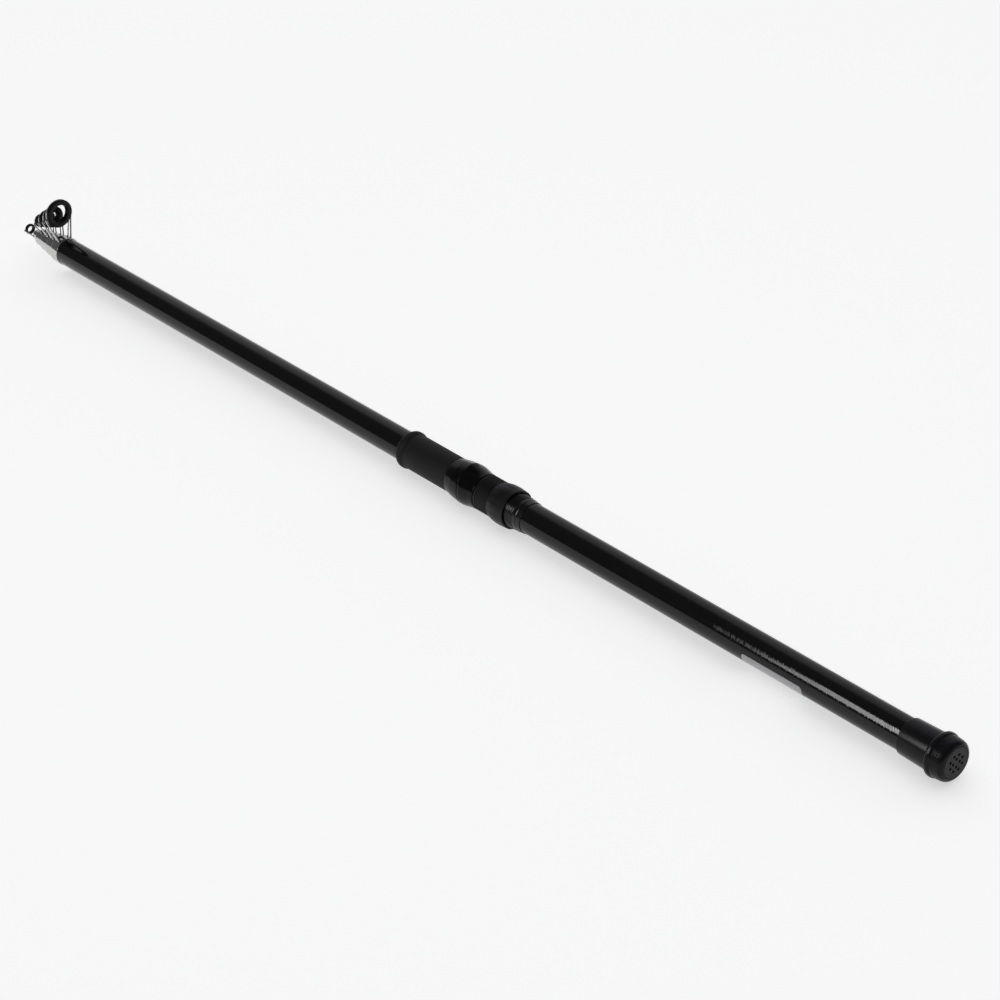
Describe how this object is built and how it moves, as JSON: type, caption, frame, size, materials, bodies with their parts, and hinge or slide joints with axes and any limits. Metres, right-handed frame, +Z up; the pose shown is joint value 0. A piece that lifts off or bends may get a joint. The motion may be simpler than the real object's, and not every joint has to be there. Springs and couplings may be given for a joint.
{
  "type": "telescopic fishing rod",
  "caption": "Telescopic fishing rod, closed, with tapered nesting sections, a screw-lock reel seat with hoods, a rubber butt cap and ring guides on wire frames.",
  "frame": {"origin": "centre of the plug face at the butt end", "axes": "+X along the rod from the butt to the tip, +Z up on the side of the line guides, +Y to the left"},
  "size_m": [1.0941, 0.0344, 0.0632],
  "materials": {
    "blank_black": "gloss lacquer",
    "trim_metal": "satin",
    "cap_rubber": "satin",
    "grip_rubber": "matte",
    "seal_rubber": "matte",
    "dark_plastic": "satin",
    "plug_grey": "matte",
    "nut_satin": "satin",
    "hood_gloss": "gloss",
    "guide_metal": "polished",
    "ring_black": "semi-gloss"
  },
  "bodies": {
    "handle": {"handle_blank": "blank_black", "mouth_ring": "trim_metal", "butt_sleeve": "cap_rubber", "threaded_insert": "dark_plastic", "seat_barrel": "dark_plastic", "seat_rear_trim": "hood_gloss", "fixed_hood": "hood_gloss", "foregrip_sleeve": "grip_rubber", "foregrip_bead": "grip_rubber"},
    "movable_hood": {"movable_hood": "hood_gloss"},
    "lock_nut": {"lock_nut": "nut_satin"},
    "plug_seal": {"plug_seal_ring": "seal_rubber"},
    "butt_plug": {"butt_plug": "plug_grey", "bumper_pad": "seal_rubber"},
    "section_2": {"section_2_blank": "blank_black", "guide_2_frame": "guide_metal", "guide_2_ring": "ring_black"},
    "section_3": {"section_3_blank": "blank_black", "guide_3_frame": "guide_metal", "guide_3_ring": "ring_black"},
    "section_4": {"section_4_blank": "blank_black", "guide_4_frame": "guide_metal", "guide_4_ring": "ring_black"},
    "section_5": {"section_5_blank": "blank_black", "guide_5_frame": "guide_metal", "guide_5_ring": "ring_black"},
    "tip": {"tip_blank": "blank_black", "tip_top_frame": "guide_metal", "tip_top_ring": "ring_black"}
  },
  "joints": [
    {"name": "section_2_slide", "type": "slide", "parent": "handle", "child": "section_2", "axis": [1, 0, 0], "range_m": [0, 0.928]},
    {"name": "section_3_slide", "type": "slide", "parent": "section_2", "child": "section_3", "axis": [1, 0, 0], "range_m": [0, 0.928]},
    {"name": "section_4_slide", "type": "slide", "parent": "section_3", "child": "section_4", "axis": [1, 0, 0], "range_m": [0, 0.928]},
    {"name": "section_5_slide", "type": "slide", "parent": "section_4", "child": "section_5", "axis": [1, 0, 0], "range_m": [0, 0.928]},
    {"name": "tip_slide", "type": "slide", "parent": "section_5", "child": "tip", "axis": [1, 0, 0], "range_m": [0, 0.928]},
    {"name": "hood_slide", "type": "slide", "parent": "handle", "child": "movable_hood", "axis": [-1, 0, 0], "range_m": [0, 0.027]},
    {"name": "nut_turn", "type": "hinge", "parent": "movable_hood", "child": "lock_nut", "pos_m": [0.458, 0, 0], "axis": [-1, 0, 0], "range_deg": [0, 4860]},
    {"name": "plug_slide", "type": "slide", "parent": "handle", "child": "plug_seal", "axis": [-1, 0, 0], "range_m": [0, 0.016]},
    {"name": "plug_turn", "type": "hinge", "parent": "plug_seal", "child": "butt_plug", "pos_m": [0.01, 0, 0], "axis": [-1, 0, 0], "range_deg": [0, 2880]}
  ],
  "couplings": [
    {"joint": "hood_slide", "follows": "nut_turn", "m_per_rad": 0.00031831},
    {"joint": "plug_slide", "follows": "plug_turn", "m_per_rad": 0.00031831}
  ]
}
